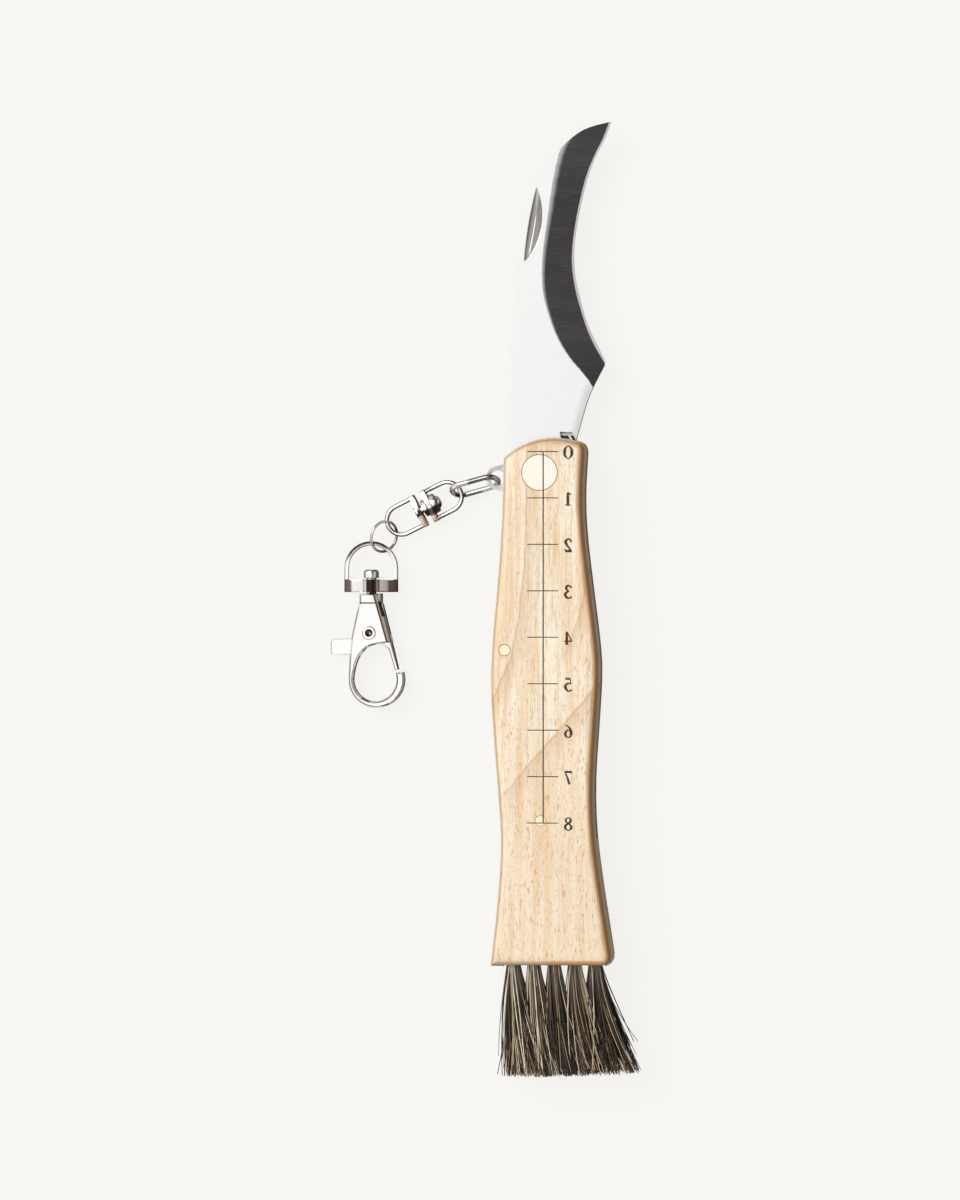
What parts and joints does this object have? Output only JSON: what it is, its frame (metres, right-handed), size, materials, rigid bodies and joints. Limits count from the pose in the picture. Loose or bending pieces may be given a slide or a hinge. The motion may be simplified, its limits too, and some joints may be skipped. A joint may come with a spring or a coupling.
{
  "type": "folding mushroom knife",
  "caption": "Folding knife with a hooked blade in a slotted wooden handle, a brush in its butt and a swivel chain with a snap clasp.",
  "frame": {"origin": "centre of the handle's rear face, halfway along the handle", "axes": "+Z out of the front face with the nail nick, +Y from the brush to the blade's tip, +X to the cutting edge's side"},
  "size_m": [0.0678, 0.2054, 0.014],
  "materials": {
    "wood": "pale beech, oiled",
    "liner_steel": "ground",
    "spring_steel": "ground",
    "blade_steel": "satin flat with a ground bevel",
    "pin_brass": "polished",
    "bristle": "mixed dark, grey and blond hair",
    "chain_plating": "nickel plated"
  },
  "bodies": {
    "knife": {"handle": "wood", "rear_liner": "liner_steel", "front_liner": "liner_steel", "back_spring": "spring_steel", "pivot_rivet": "pin_brass", "rear_washer": "pin_brass", "front_washer": "pin_brass", "mid_pin": "pin_brass", "tail_pin": "pin_brass", "bristle_row_rear": "bristle", "bristle_row_middle": "bristle", "bristle_row_front": "bristle"},
    "blade": {"blade": "blade_steel"},
    "link": {"eye_link": "chain_plating"},
    "swivel_near": {"swivel_bail_near": "chain_plating"},
    "swivel_far": {"swivel_bail_far": "chain_plating", "swivel_rivet": "chain_plating", "swivel_washer": "chain_plating"},
    "ring": {"jump_ring": "chain_plating"},
    "clasp_bail": {"clasp_bail": "chain_plating"},
    "clasp": {"clasp_body": "chain_plating", "clasp_post": "chain_plating", "lever_pin": "chain_plating", "lever_spring": "spring_steel"},
    "lever": {"clasp_lever": "chain_plating"}
  },
  "joints": [
    {"name": "blade_fold", "type": "hinge", "parent": "knife", "child": "blade", "pos_m": [-0.00086, 0.04951, 0.007], "axis": [0, 0, 1], "range_deg": [-164, 0]},
    {"name": "link_swing", "type": "hinge", "parent": "knife", "child": "link", "pos_m": [-0.01067, 0.04854, 0.00515], "axis": [0, 0, 1], "range_deg": [-60, 20]},
    {"name": "swivel_swing", "type": "hinge", "parent": "link", "child": "swivel_near", "pos_m": [-0.01979, 0.04572, 0.0027], "axis": [0, 0, -1], "range_deg": [-24, 60]},
    {"name": "swivel_spin", "type": "hinge", "parent": "swivel_near", "child": "swivel_far", "pos_m": [-0.01897, 0.04594, 0.0028], "axis": [-0.8936, -0.4456, -0.0537], "continuous": true},
    {"name": "ring_swing", "type": "hinge", "parent": "swivel_far", "child": "ring", "pos_m": [-0.0346, 0.03849, 0.0023], "axis": [0, 0, 1], "range_deg": [-17, 30]},
    {"name": "bail_swing", "type": "hinge", "parent": "ring", "child": "clasp_bail", "pos_m": [-0.03852, 0.0345, 0.00285], "axis": [0, 0, -1], "range_deg": [-40, 6]},
    {"name": "clasp_spin", "type": "hinge", "parent": "clasp_bail", "child": "clasp", "pos_m": [-0.03844, 0.02348, 0.00285], "axis": [0, -1, 0], "continuous": true},
    {"name": "gate_lever", "type": "hinge", "parent": "clasp", "child": "lever", "pos_m": [-0.03879, 0.01488, 0.00285], "axis": [0, 0, 1], "range_deg": [-22, 0], "stiffness_Nm_per_rad": 0.01, "springref_deg": 22.92, "deforming": ["lever_spring"]}
  ]
}
